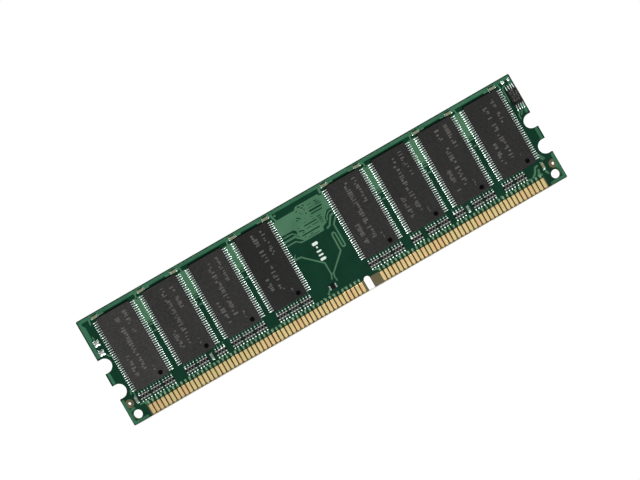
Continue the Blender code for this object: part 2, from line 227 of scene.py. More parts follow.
class Solids:
    """Closed solids gathered into one mesh."""

    def __init__(self, side=FRONT):
        self.side = side
        self.points = []
        self.faces = []
        self.laid = 0

    def level(self, outline, height):
        """An outline at a height above the middle plane, as points in space."""
        return [(x, -self.side * height, z) for x, z in outline]

    def loft(self, rings):
        """A closed solid through rings of equally many points."""
        count, start = len(rings[0]), len(self.points)
        for ring in rings:
            self.points += ring
        for level in range(len(rings) - 1):
            low = start + level * count
            for index in range(count):
                after = (index + 1) % count
                self.faces.append((low + index, low + after, low + count + after, low + count + index))
        for first in (start, start + (len(rings) - 1) * count):
            self.faces.append(tuple(range(first, first + count)))

    def slab(self, outline, low, high, top_outline=None):
        """A solid from an outline at one height to the same or a smaller outline at another."""
        self.loft([self.level(outline, low), self.level(top_outline or outline, high)])

    def copper_top(self):
        """The height of the next copper shape, a hair off the others' so that no two faces coincide."""
        self.laid += 1
        return COPPER_TOP - (self.laid % 11) * 0.0003 * MM

    def track(self, path, width):
        """A copper strip under the mask, with sloping sides."""
        self.slab(ribbon(path, width), UNDER_MASK, self.copper_top(), ribbon(path, width - 2 * COPPER_SLOPE))

    def bar(self, x, z, width, height, low, high, slope=0.0, radius=0.0):
        """A rectangular block whose sides slope in by slope."""
        top = rectangle(x, z, width - 2 * slope, height - 2 * slope, max(radius - slope, 0.0))
        self.slab(rectangle(x, z, width, height, radius), low, high, top)

    def mound(self, x, z, width, height, low, high, radius):
        """A low cushion of solder, rounded off towards its top."""
        rings = []
        # shares of the height, and of the smaller side by which the outline is drawn in there
        for rise, inset in ((0.0, 0.0), (0.45, 0.03), (0.8, 0.10), (1.0, 0.24)):
            drawn = inset * min(width, height)
            outline = rectangle(x, z, width - 2 * drawn, height - 2 * drawn, max(radius - drawn, 0.02 * MM))
            rings.append(self.level(outline, low + rise * (high - low)))
        self.loft(rings)

    def across(self, profile, start, end, along_x=False):
        """A solid of one cross-section, given as (distance, height), swept along Z, or along X."""
        rings = []
        for place in (start, end):
            if along_x:
                rings.append([(place, -self.side * height, distance) for distance, height in profile])
            else:
                rings.append([(distance, -self.side * height, place) for distance, height in profile])
        self.loft(rings)

    def mesh(self, name):
        """One mesh with every face pointing outwards."""
        built = bpy.data.meshes.new(name)
        built.from_pydata(self.points, [], self.faces)
        solid = bmesh.new()
        solid.from_mesh(built)
        bmesh.ops.recalc_face_normals(solid, faces=solid.faces)
        solid.to_mesh(built)
        solid.free()
        return built

    def show(self, name, finish, replaces=(), smooth=None):
        """Show the gathered solids as one piece."""
        add_piece(name, self.mesh(name), finish, replaces, smooth)


def plate(name, outlines, low, high, side):
    """A flat solid between two heights on a face; the first outline is its edge and the rest are holes."""
    curve = bpy.data.curves.new(name, "CURVE")
    curve.dimensions = "2D"
    curve.fill_mode = "BOTH"
    curve.extrude = abs(high - low) / 2
    for outline in outlines:
        spline = curve.splines.new("POLY")
        spline.points.add(len(outline) - 1)
        for point, (x, z) in zip(spline.points, outline):
            point.co = (x, z, 0.0, 1.0)
        spline.use_cyclic_u = True
    mesh = evaluated(bpy.data.objects.new(name, curve))
    solid = bmesh.new()
    solid.from_mesh(mesh)
    bmesh.ops.remove_doubles(solid, verts=solid.verts, dist=0.0005 * MM)
    stand = Matrix.Translation((0, -side * (low + high) / 2, 0)) @ Matrix.Rotation(radians(90), 4, "X")
    bmesh.ops.transform(solid, matrix=stand, verts=solid.verts)
    bmesh.ops.recalc_face_normals(solid, faces=solid.faces)
    solid.to_mesh(mesh)
    solid.free()
    return mesh


def evaluated(holder, *helpers):
    """The mesh that an object makes with its modifiers; it and its helpers are removed."""
    for temporary in (holder, *helpers):
        bpy.context.scene.collection.objects.link(temporary)
    bpy.context.view_layer.update()
    graph = bpy.context.evaluated_depsgraph_get()
    mesh = bpy.data.meshes.new_from_object(holder.evaluated_get(graph))
    for temporary in (holder, *helpers):
        bpy.data.objects.remove(temporary)
    return mesh


def add_piece(name, mesh, finish, replaces=(), smooth=None):
    """Show a mesh as a piece of the module."""
    mesh.materials.clear()
    mesh.materials.append(finish.material)
    if smooth:
        mesh.shade_smooth()
        mesh.set_sharp_from_angle(angle=radians(smooth))
    piece = bpy.data.objects.new(name, mesh)
    bpy.context.scene.collection.objects.link(piece)
    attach(piece, "root")
    if replaces:
        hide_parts(*replaces)


def paint_node(node, finish):
    """Give a CAD node that stays in the scene its finish."""
    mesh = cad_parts[node].data
    mesh.materials.clear()
    mesh.materials.append(finish.material)


# ---------------------------------------------------------------- finishes

BLACK, WHITE = (0, 0, 0), (1, 1, 1)


class Finish:
    """A material built from nodes round one Principled shader, and the slot that it belongs to."""

    def __init__(self, name, slot, **sockets):
        self.slot = slot
        self.material = bpy.data.materials.new(name)
        self.material.use_nodes = True
        self.tree = self.material.node_tree
        self.shader = self.tree.nodes["Principled BSDF"]
        for socket, value in sockets.items():
            self.shader.inputs[socket.replace("_", " ")].default_value = value

    def node(self, kind, inputs=(), **settings):
        """A node with its settings, its inputs given as (socket, value or output)."""
        made = self.tree.nodes.new(kind)
        for key, value in settings.items():
            setattr(made, key, value)
        for socket, value in inputs:
            if isinstance(value, bpy.types.NodeSocket):
                self.tree.links.new(value, made.inputs[socket])
            else:
                made.inputs[socket].default_value = value
        return made

    def math(self, operation, *values):
        """The result of a sum on values or outputs."""
        return self.node("ShaderNodeMath", enumerate(values), operation=operation).outputs["Value"]

    def places(self, stretch=(1, 1, 1)):
        """The surface's own coordinates in metres, squeezed by stretch."""
        own = self.node("ShaderNodeTexCoord").outputs["Object"]
        return self.node("ShaderNodeMapping", [("Vector", own), ("Scale", stretch)]).outputs["Vector"]

    def noise(self, size, detail=3.0, stretch=(1, 1, 1), roughness=0.5):
        """Cloudy variation whose features are about size metres across."""
        made = self.node("ShaderNodeTexNoise", [("Vector", self.places(stretch)), ("Scale", 1 / size),
                                                ("Detail", detail), ("Roughness", roughness)])
        return made.outputs["Fac"]

    def bands(self, pitch, direction, distortion=0.0):
        """Soft stripes pitch metres apart, dark at whole pitches; a little wider apart on the diagonal."""
        made = self.node("ShaderNodeTexWave", [("Vector", self.places()), ("Scale", pi / 10 / pitch),
                                               ("Distortion", distortion)],
                         wave_type="BANDS", bands_direction=direction)
        return made.outputs["Fac"]

    def ramp(self, value, *stops):
        """Colours at places along a value."""
        made = self.node("ShaderNodeValToRGB", [("Fac", value)])
        elements = made.color_ramp.elements
        while len(elements) < len(stops):
            elements.new(0.5)
        for element, (place, colour) in zip(elements, stops):
            element.position = place
            element.color = (*colour, 1.0)
        return made.outputs["Color"]

    def mix(self, share, first, second):
        """Two colours mixed."""
        made = self.node("ShaderNodeMix", data_type="RGBA")
        colours = [socket for socket in made.inputs if socket.type == "RGBA"]
        for socket, value in zip([made.inputs[0], *colours], (share, first, second)):
            if isinstance(value, bpy.types.NodeSocket):
                self.tree.links.new(value, socket)
            else:
                socket.default_value = value if socket == made.inputs[0] else (*value, 1.0)
        return [socket for socket in made.outputs if socket.type == "RGBA"][0]

    def spread(self, value, low, high):
        """A value from 0 to 1 laid out between two others."""
        made = self.node("ShaderNodeMapRange", [("Value", value), ("To Min", low), ("To Max", high)])
        return made.outputs["Result"]

    def colour(self, value):
        """Take the surface's colour from an output."""
        self.tree.links.new(value, self.shader.inputs["Base Color"])

    def roughness(self, value, low, high):
        """Take the surface's roughness from a value, laid out between two others."""
        self.tree.links.new(self.spread(value, low, high), self.shader.inputs["Roughness"])

    def bump(self, height, depth, strength):
        """Fine relief, depth metres deep."""
        made = self.node("ShaderNodeBump", [("Height", height), ("Distance", depth), ("Strength", strength)])
        self.tree.links.new(made.outputs["Normal"], self.shader.inputs["Normal"])


def laminate_finish():
    """Woven glass in epoxy: olive brown on its faces, paler and layered where it is cut."""
    finish = Finish("glass_epoxy", "board_laminate", Specular_IOR_Level=0.3)
    warp, weft = finish.bands(0.42 * MM, "X", 0.6), finish.bands(0.42 * MM, "Z", 0.6)
    weave = finish.mix(0.5, finish.ramp(warp, (0.0, BLACK), (1.0, WHITE)),
                       finish.ramp(weft, (0.0, BLACK), (1.0, WHITE)))
    face = finish.ramp(weave, (0.2, (0.044, 0.033, 0.010)), (0.8, (0.088, 0.068, 0.024)))
    layers = finish.bands(0.18 * MM, "Y", 1.5)
    cut = finish.ramp(layers, (0.15, (0.20, 0.19, 0.075)), (0.85, (0.38, 0.36, 0.17)))
    dust = finish.noise(0.25 * MM, 4.0)
    cut = finish.mix(finish.spread(dust, 0.0, 0.5), cut, (0.46, 0.44, 0.28))
    normal = finish.node("ShaderNodeNewGeometry").outputs["Normal"]
    facing = finish.node("ShaderNodeSeparateXYZ", [("Vector", normal)]).outputs["Y"]
    on_face = finish.math("GREATER_THAN", finish.math("ABSOLUTE", facing), 0.7)
    finish.colour(finish.mix(on_face, cut, face))
    finish.roughness(dust, 0.45, 0.75)
    finish.bump(dust, 0.02 * MM, 0.6)
    return finish


def mask_finish(name, dark, light, weave_depth=0.003 * MM):
    """Green solder mask, with the weave of the laminate just showing through."""
    finish = Finish(name, "board_laminate", Specular_IOR_Level=0.16)
    cloud = finish.noise(6 * MM, 4.0)
    weave = finish.math("MULTIPLY", finish.bands(0.5 * MM, "X", 0.8), finish.bands(0.5 * MM, "Z", 0.8))
    tone = finish.ramp(cloud, (0.30, dark), (0.72, light))
    finish.colour(finish.mix(finish.spread(weave, 0.0, 0.16), tone, light))
    finish.roughness(finish.noise(0.8 * MM, 3.0), 0.17, 0.28)
    finish.bump(weave, weave_depth, 0.5)
    return finish


def gold_finish():
    """Gold plate, mottled, rubbed up and down by the socket's springs, and darker along its long edges as
    painted shade of the gaps beside it.
    """
    finish = Finish("gold_plate", "contact_gold", Metallic=1.0)
    batches = finish.noise(1.3 * MM, 1.0, stretch=(1, 1, 0.05))
    rubs = finish.noise(0.09 * MM, 3.0, stretch=(1, 1, 0.06))
    scuffs = finish.bands(0.45 * MM, "DIAGONAL", 4.0)
    tone = finish.ramp(batches, (0.34, (0.76, 0.62, 0.27)), (0.50, (0.86, 0.66, 0.30)),
                       (0.62, (0.84, 0.55, 0.25)))
    tone = finish.mix(finish.spread(rubs, 0.0, 0.4), tone, (0.90, 0.76, 0.44))
    tone = finish.mix(finish.spread(scuffs, 0.0, 0.22), tone, (0.55, 0.36, 0.15))
    # painted shade: each contact is darkened along its long edges, next to the shaded gaps
    painted_rim_shade = finish.ramp(finish.bands(CONTACT_PITCH, "X"), (0.10, WHITE), (0.42, BLACK))
    finish.colour(finish.mix(finish.spread(painted_rim_shade, 0.0, 0.62), tone, (0.30, 0.20, 0.05)))
    finish.roughness(rubs, 0.25, 0.33)
    finish.bump(rubs, 0.003 * MM, 0.5)
    return finish


def mould_finish(name, shade):
    """Black mould compound with a fine matt grain and flow marks; shade tells one batch from another."""
    finish = Finish(name, "mould_compound", Specular_IOR_Level=0.09)
    grain = finish.noise(0.07 * MM, 5.0, roughness=0.65)
    flow = finish.noise(3.2 * MM, 4.0, stretch=(1, 1, 0.45))
    mottle = finish.noise(0.55 * MM, 3.0)
    darkest, dark, pale, palest = [(level * shade, level * 0.965 * shade, level * 0.935 * shade)
                                   for level in (0.007, 0.014, 0.023, 0.032)]
    tone = finish.ramp(flow, (0.25, darkest), (0.75, dark))
    tone = finish.mix(finish.ramp(mottle, (0.42, BLACK), (0.70, WHITE)), tone, pale)
    finish.colour(finish.mix(finish.spread(grain, 0.0, 0.40), tone, palest))
    finish.roughness(grain, 0.42, 0.66)
    finish.bump(grain, 0.012 * MM, 0.8)
    return finish


def tin_finish(name, bright, dull, low, high):
    """Tin plate or solder: bright metal with dull, slightly uneven patches."""
    finish = Finish(name, "lead_tin", Metallic=1.0)
    patches = finish.noise(0.35 * MM, 4.0)
    finish.colour(finish.ramp(patches, (0.32, dull), (0.64, bright)))
    finish.roughness(finish.noise(0.12 * MM, 2.0), low, high)
    finish.bump(patches, 0.004 * MM, 0.5)
    return finish


def grained_finish(name, slot, dark, light, size, low, high, specular=0.2):
    """A fired or printed surface with fine speckle."""
    finish = Finish(name, slot, Specular_IOR_Level=specular)
    speckle = finish.noise(size, 5.0, roughness=0.7)
    finish.colour(finish.ramp(speckle, (0.32, dark), (0.68, light)))
    finish.roughness(speckle, low, high)
    finish.bump(speckle, 0.006 * MM, 0.6)
    return finish


def silicon_finish():
    """A polished die with rows of fine circuit blocks."""
    finish = Finish("silicon", "silicon", Metallic=0.6)
    blocks = finish.math("MULTIPLY", finish.bands(0.5 * MM, "Z"), finish.bands(0.9 * MM, "X"))
    finish.colour(finish.ramp(blocks, (0.1, (0.10, 0.11, 0.16)), (0.6, (0.24, 0.23, 0.28))))
    finish.roughness(finish.noise(0.3 * MM), 0.12, 0.25)
    return finish


LAMINATE = laminate_finish()
MASK = mask_finish("mask_over_laminate", (0.0013, 0.0185, 0.0088), (0.0022, 0.027, 0.0135), 0.004 * MM)
MASKED_COPPER = mask_finish("mask_over_copper", (0.033, 0.096, 0.052), (0.054, 0.130, 0.075))
MASKED_GOLD = mask_finish("mask_over_gold", (0.080, 0.155, 0.085), (0.160, 0.250, 0.150))
MASKED_EDGE = mask_finish("mask_over_edge_strip", (0.014, 0.072, 0.036), (0.032, 0.110, 0.060))
GOLD = gold_finish()
CHIP_SHADES = (1.18, 0.92, 0.88, 0.50, 0.78, 0.70, 0.72, 0.70)
CHIP_MOULDS = [mould_finish(f"mould_compound_{number}", shade) for number, shade in zip(CHIPS, CHIP_SHADES)]
CONFIG_MOULD = mould_finish("mould_compound_small", 0.45)
LEAD_TIN = tin_finish("lead_tin", (0.72, 0.77, 0.74), (0.53, 0.58, 0.55), 0.27, 0.33)
SOLDER = tin_finish("solder", (0.60, 0.68, 0.64), (0.40, 0.48, 0.44), 0.26, 0.33)
# dimmer solder; on the pads above the resistor arrays its dimness is painted shade
PAD_SOLDER = tin_finish("pad_solder", (0.38, 0.48, 0.42), (0.23, 0.32, 0.27), 0.28, 0.36)
ARRAY_TIN = tin_finish("array_terminals", (0.62, 0.69, 0.65), (0.43, 0.49, 0.46), 0.27, 0.33)
CAP_ENDS = tin_finish("cap_ends", (0.48, 0.58, 0.48), (0.33, 0.42, 0.34), 0.26, 0.34)
CAPACITOR = grained_finish("capacitor_ceramic", "capacitor_ceramic", (0.085, 0.092, 0.045),
                           (0.180, 0.180, 0.095), 0.09 * MM, 0.4, 0.6)
GREY_CERAMIC = grained_finish("grey_ceramic", "capacitor_ceramic", (0.085, 0.09, 0.08),
                              (0.15, 0.155, 0.14), 0.09 * MM, 0.4, 0.6)
ARRAY_BASE = grained_finish("array_base", "resistor_glaze", (0.034, 0.034, 0.029),
                            (0.066, 0.064, 0.055), 0.08 * MM, 0.4, 0.6)
GLAZE = grained_finish("black_glaze", "resistor_glaze", (0.002, 0.002, 0.002),
                       (0.006, 0.006, 0.006), 0.10 * MM, 0.15, 0.3, 0.15)
# near black with hardly any reflection: the mark's smooth floor is real, its darkness is painted dark
# reflection and shade
POLISHED_MARK_PAINTED_DARK = grained_finish("polished_mark_painted_dark", "mould_compound", (0.001, 0.001, 0.001),
                               (0.003, 0.003, 0.003), 0.2 * MM, 0.1, 0.2, 0.05)
LASER_MARK = grained_finish("laser_mark", "mould_compound", (0.048, 0.046, 0.043),
                            (0.092, 0.089, 0.083), 0.06 * MM, 0.7, 0.95, 0.1)
PRINT = grained_finish("white_print", "board_laminate", (0.36, 0.42, 0.38),
                       (0.56, 0.62, 0.57), 0.10 * MM, 0.5, 0.7)
# darker laminate for the strips between and above the contacts: partly etched laminate, partly painted shade
BARE_GAP_SHADE = grained_finish("bare_gap_painted_shade", "board_laminate", (0.009, 0.006, 0.001),
                          (0.020, 0.013, 0.003), 0.12 * MM, 0.5, 0.8, 0.04)
SILICON = silicon_finish()
FLOOR = grained_finish("pale_floor", None, (0.86, 0.86, 0.86), (0.90, 0.90, 0.90),
                       40 * MM, 0.8, 0.95, 0.1)


# ---------------------------------------------------------------- board

def make_board():
    """The laminate and the mask on each face."""
    holes = [circle(x, HOLE_Z, HOLE_RADIUS, 40) for x in (-HOLE_X, HOLE_X)]
    holes += [circle(x, z, TOOLING_RADIUS) for x, z in TOOLING_HOLES]
    openings = [circle(x, HOLE_Z, HOLE_RADIUS + HOLE_CLEARANCE, 40) for x in (-HOLE_X, HOLE_X)]
    openings += [circle(x, z, TOOLING_CLEARANCE, 32) for x, z in TOOLING_HOLES]
    skin_foot, skin_inset = CORE_TOP - LAMINATE_SKIN, 0.03 * MM
    core = plate("board_core", [board_outline(), *holes], -skin_foot, skin_foot, FRONT)
    add_piece("board_core", core, LAMINATE, ["circuit_board"], 30)
    for side, face in FACES:
        skin = plate("laminate_face", [board_outline(skin_inset), *holes], skin_foot, CORE_TOP, side)
        add_piece(f"{face}_laminate_face", skin, LAMINATE)
        mask = plate("mask", [masked_area(), *openings], CORE_TOP, MASK_TOP, side)
        add_piece(f"{face}_mask", mask, MASK)


def contact_rows():
    """Name, left edge and number of contacts of the long and short rows."""
    for row in ("long", "short"):
        low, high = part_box(f"front_contacts_{row}")
        yield row, low.x, round((high.x - low.x - CONTACT_WIDTH) / CONTACT_PITCH) + 1


def contact_centres():
    """Centre of every contact along the edge."""
    return [left + CONTACT_WIDTH / 2 + number * CONTACT_PITCH
            for _, left, count in contact_rows() for number in range(count)]


def make_contacts():
    """Gold contacts in their four rows, each with a plating stub down to the board's edge.

    The bare strips between them and above them are darker than the rest of the laminate: partly etched
    laminate, partly painted shade in the narrow gaps and along the mask's edge.
    """
    gap, shade_strip, overlap = CONTACT_PITCH - CONTACT_WIDTH, 0.2 * MM, 0.10 * MM
    for side, face in FACES:
        necks, gaps = Solids(side), Solids(side)
        for row, left, count in contact_rows():
            node = f"{face}_contacts_{row}"
            low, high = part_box(node)
            bottom, top = low.z, high.z - CONTACT_TIE
            middle, height = (bottom + top) / 2, top - bottom
            # painted shade: a dark strip along the mask's edge above the row, and one in each gap between
            # contacts
            gaps.bar((low.x + high.x) / 2, top + shade_strip / 2, high.x - low.x, shade_strip, ROOT,
                     CORE_TOP + 0.005 * MM)
            for number in range(1, count):
                gaps.bar(left - gap / 2 + number * CONTACT_PITCH, middle, gap, height, ROOT,
                         CORE_TOP + 0.004 * MM)
            gold = Solids(side)
            for number in range(count):
                x = left + CONTACT_WIDTH / 2 + number * CONTACT_PITCH
                outline = rectangle(x, middle, CONTACT_WIDTH, height, 0.16 * MM)
                inner = rectangle(x, middle, CONTACT_WIDTH - 0.12 * MM, height - 0.08 * MM, 0.12 * MM)
                gold.loft([gold.level(outline, ROOT), gold.level(outline, FACE - 0.044 * MM),
                           gold.level(inner, FACE - 0.001 * MM)])
                gold.bar(x, bottom / 2 + overlap, PLATING_STUB, bottom, ROOT, FACE - 0.012 * MM)
                necks.bar(x, top + NECK_RISE, NECK_WIDTH, NECK_HEIGHT, ROOT, FACE - 0.002 * MM,
                          COPPER_SLOPE, 0.2 * MM)
            gold.show(f"gold_{node}", GOLD, [node], 12)
        necks.show(f"{face}_contact_necks", MASKED_GOLD)
        gaps.show(f"{face}_contact_gaps_painted_shade", BARE_GAP_SHADE)


# ---------------------------------------------------------------- chips

def package_mesh(name, low, high, corner, mark):
    """A moulded package between two corners of its box, with drafted sides, soft edges and a pin mark."""
    back, front = -high.y, -low.y
    parting = (back + front) / 2
    # heights, and how far the outline is drawn in there, in millimetres
    levels = ((back, 0.10), (back + 0.04 * MM, 0.062), (parting - 0.06 * MM, 0.008), (parting, 0.0),
              (parting + 0.06 * MM, 0.008), (front - 0.10 * MM, 0.062), (front - 0.045 * MM, 0.085),
              (front - 0.012 * MM, 0.130), (front - PACKAGE_FRONT, 0.21))
    body = Solids()
    rings = []
    for height, inset in levels:
        drawn = 2 * inset * MM
        outline = rectangle((low.x + high.x) / 2, (low.z + high.z) / 2, high.x - low.x - drawn,
                            high.z - low.z - drawn, corner, 4)
        rings.append(body.level(outline, height))
    body.loft(rings)
    return with_dimple(body.mesh(name), mark, front - PACKAGE_FRONT)


def with_dimple(mesh, mark, front):
    """A mesh with a round, dished mark (x, z, radius, depth) sunk into its front."""
    x, z, radius, depth = mark
    rings = ((MARK_FLOOR, 1.0), (0.97, 0.72), (1.0, 0.0), (1.0, -1.0))  # shares of the radius and depth
    dish = Solids()
    dish.loft([dish.level(circle(x, z, radius * share, 32), front - sunk * depth)
               for share, sunk in rings])
    body = bpy.data.objects.new("dimpled", mesh)
    cutter = bpy.data.objects.new("dish", dish.mesh("dish"))
    cut = body.modifiers.new("dish", "BOOLEAN")
    cut.operation, cut.solver, cut.object = "DIFFERENCE", "EXACT", cutter
    return evaluated(body, cutter)


def gull_wing(wall, toe, middle, board):
    """Cross-section of a bent lead, as (distance from the chip's centre line, height)."""
    half = LEAD_THICKNESS / 2
    top, under, foot = middle + half, middle - half, board + LEAD_THICKNESS
    reach = toe - wall
    knee, heel = wall + 0.26 * reach, wall + 0.50 * reach
    return [(wall - 0.15 * MM, top), (knee - 0.04 * MM, top), (knee + 0.03 * MM, top - 0.04 * MM),
            (heel - 0.02 * MM, foot + 0.05 * MM), (heel + 0.05 * MM, foot), (toe - 0.03 * MM, foot),
            (toe, foot - 0.03 * MM), (toe, board), (heel - 0.07 * MM, board),
            (knee - 0.09 * MM, under - 0.03 * MM), (knee - 0.14 * MM, under), (wall - 0.15 * MM, under)]


def make_leads(name, node, package, lead_width, per_side, upright):
    """One chip's leads in tin plate, and the solder that joins them to their pads."""
    low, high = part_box(node)
    package_low, package_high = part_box(package)
    axis, along = (2, 0) if upright else (0, 2)
    centre = (low[axis] + high[axis]) / 2
    wall = (package_high[axis] - package_low[axis]) / 2 - 0.02 * MM
    toe = (high[axis] - low[axis]) / 2
    row_middle = (low[along] + high[along]) / 2
    profile = gull_wing(wall, toe, -(package_low.y + package_high.y) / 2, FACE + 0.015 * MM)
    # a pad reaches from under the bend to beyond the toe
    pad_start, pad_end = wall + 0.30 * (toe - wall), toe + 0.52 * MM
    # each pad's solder and the fillet at the lead's toe: place, length, extra width, foot and top
    mounds = (((pad_start + pad_end) / 2, pad_end - pad_start, 0.05 * MM, CORE_TOP, FACE + 0.045 * MM),
              (toe + 0.06 * MM, 0.30 * MM, 0.01 * MM, FACE, FACE + 0.11 * MM))
    leads, solder = Solids(), Solids()
    for number in range(per_side):
        place = row_middle + (number - (per_side - 1) / 2) * LEAD_PITCH
        for sign in (-1, 1):
            section = [(centre + sign * distance, height) for distance, height in profile]
            leads.across(section, place - lead_width / 2, place + lead_width / 2, along_x=upright)
            for middle, length, extra, foot, top in mounds:
                spot = placed(upright, centre + sign * middle, place, length, lead_width + extra)
                solder.mound(*spot, foot, top, 0.09 * MM)
    leads.show(name, LEAD_TIN, [node], 25)
    solder.show(f"{name}_solder", SOLDER, (), 60)


def mark_lines(marks, chooser, x, start, end, size, front):
    """A line of small bars and half bars along Z, where a real chip carries its printing."""
    z = start
    while z < end:
        length = chooser.choice((0.22, 0.32, 0.32, 0.5)) * MM
        reach, offset = chooser.choice(((1.0, 0.0), (1.0, 0.0), (0.5, 0.25), (0.5, -0.25), (0.7, 0.1)))
        if chooser.random() > 0.12:  # about one bar in eight is left out
            marks.bar(x + offset * size, z + length / 2, size * reach, length, front - 0.010 * MM, front)
        z += length + chooser.choice((0.16, 0.2, 0.3, 0.6)) * MM


def pin_mark(name, mark, front):
    """The polished floor of the round mark by the first pin; its near-black colour with hardly any
    reflection is painted dark reflection and shade.
    """
    x, z, radius, depth = mark
    floor = front - PACKAGE_FRONT - depth
    polished = Solids()
    polished.slab(circle(x, z, radius * MARK_FLOOR, 32), floor - 0.02 * MM, floor + 0.006 * MM)
    polished.show(name, POLISHED_MARK_PAINTED_DARK)


def chip_middle(number):
    """Centre of a memory chip along the board."""
    low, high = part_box(f"memory_package_{number}")
    return (low.x + high.x) / 2


def make_memory_chips():
    """Eight packages with their leads, solder and faint bars of marking."""
    # lines of marking: offset from the middle, start and end above the package's lower edge, and bar size
    lines = ((-2.65, 3.6, 9.6, 1.25), (-0.1, 4.2, 20.4, 1.3), (2.55, 13.6, 20.6, 1.1), (2.0, 2.7, 4.2, 0.5))
    for number in CHIPS:
        package = f"memory_package_{number}"
        low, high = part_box(package)
        front = -low.y
        mark = (high.x - 2.15 * MM, low.z + 1.45 * MM, 0.70 * MM, 0.07 * MM)
        mesh = package_mesh(package, low, high, 0.30 * MM, mark)
        add_piece(f"moulded_package_{number}", mesh, CHIP_MOULDS[number - 1], [package], 24)
        make_leads(f"memory_leads_{number}", f"memory_lead_frame_{number}", package, 0.25 * MM,
                   LEADS_PER_SIDE, False)
        chooser = Random(number)
        marks = Solids()
        for offset, start, end, size in lines:
            mark_lines(marks, chooser, chip_middle(number) + offset * MM, low.z + start * MM,
                       low.z + end * MM, size * MM, front)
        marks.show(f"package_marks_{number}", LASER_MARK)
        pin_mark(f"pin_one_mark_{number}", mark, front)
        paint_node(f"memory_die_{number}", SILICON)


def make_config_chip():
    """The small eight-lead chip at the right-hand end."""
    low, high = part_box("config_package")
    mark = (low.x + 0.55 * MM, low.z + 0.65 * MM, 0.25 * MM, 0.05 * MM)
    mesh = package_mesh("config_package", low, high, 0.15 * MM, mark)
    add_piece("moulded_config_package", mesh, CONFIG_MOULD, ["config_package"], 24)
    make_leads("config_leads", "config_lead_frame", "config_package", 0.24 * MM, 4, True)
    marks = Solids()
    chooser = Random(40)
    for offset in (-0.75, 0.0, 0.75):
        mark_lines(marks, chooser, (low.x + high.x) / 2 + offset * MM, low.z + 1.1 * MM, high.z - 0.5 * MM,
                   0.5 * MM, -low.y)
    marks.show("config_marks", LASER_MARK)
    pin_mark("config_pin_one_mark", mark, -low.y)
    paint_node("config_die", SILICON)


# ---------------------------------------------------------------- small components

def array_blocks():
    """Number, centres of the arrays, and lowest and highest corner of every block."""
    for number in range(1, 12):
        low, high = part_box(f"resistor_array_block_{number:02d}")
        count = round((high.x - low.x - ARRAY_LENGTH) / ARRAY_PITCH) + 1
        yield number, [low.x + ARRAY_LENGTH / 2 + index * ARRAY_PITCH for index in range(count)], low, high


def array_pads():
    """Place of every terminal's pad, as (x, z of the array's middle)."""
    return [(centre + offset, (low.z + high.z) / 2) for _, centres, low, high in array_blocks()
            for centre in centres for offset in TERMINAL_OFFSETS]


def make_resistor_arrays():
    """Arrays of four resistors: a base, a black glaze over each resistor, wrapped terminals and solder."""
    upper, lower = Solids(), Solids()
    for number, centres, low, high in array_blocks():
        base, glaze, metal = Solids(), Solids(), Solids()
        middle, half_width, front = (low.z + high.z) / 2, (high.z - low.z) / 2, -low.y
        for centre in centres:
            base.bar(centre, middle, ARRAY_LENGTH - 0.06 * MM, 2 * half_width - 0.10 * MM,
                     FACE + 0.02 * MM, front - 0.04 * MM, 0.02 * MM)
            for offset in TERMINAL_OFFSETS:
                x = centre + offset
                glaze.bar(x, middle, 0.60 * MM, 0.74 * MM, front - 0.05 * MM, front - 0.005 * MM, 0.03 * MM,
                          0.08 * MM)
                for sign, solder in ((-1, lower), (1, upper)):
                    end = middle + sign * half_width
                    metal.across(wrapped_terminal(end, sign, front), x - 0.215 * MM, x + 0.215 * MM,
                                 along_x=True)
                    solder.mound(x, end + sign * (PAD_REACH + PAD_GAP) / 2, 0.44 * MM, PAD_REACH - PAD_GAP,
                                 CORE_TOP, FACE + 0.06 * MM, 0.14 * MM)
        name = f"resistor_array_{number:02d}"
        base.show(f"{name}_base", ARRAY_BASE, [f"resistor_array_block_{number:02d}"], 30)
        glaze.show(f"{name}_glaze", GLAZE, (), 30)
        metal.show(f"{name}_terminals", ARRAY_TIN, (), 30)
    # painted shade: the solder above the arrays gets the dimmer pad solder, as if shaded by them from the
    # light below; the solder below gets the brighter array tin
    upper.show("upper_array_solder_painted_shade", PAD_SOLDER, (), 60)
    lower.show("lower_array_solder", ARRAY_TIN, (), 60)


def wrapped_terminal(end, sign, front):
    """Cross-section of a terminal that wraps over a component's edge at end, as (distance, height)."""
    inner, outer = end - sign * 0.40 * MM, end - sign * 0.03 * MM
    foot, top = FACE + 0.015 * MM, front - 0.002 * MM
    return [(inner, front - 0.06 * MM), (inner, top), (outer - sign * 0.08 * MM, top),
            (outer, front - 0.08 * MM), (outer, foot), (inner, foot)]


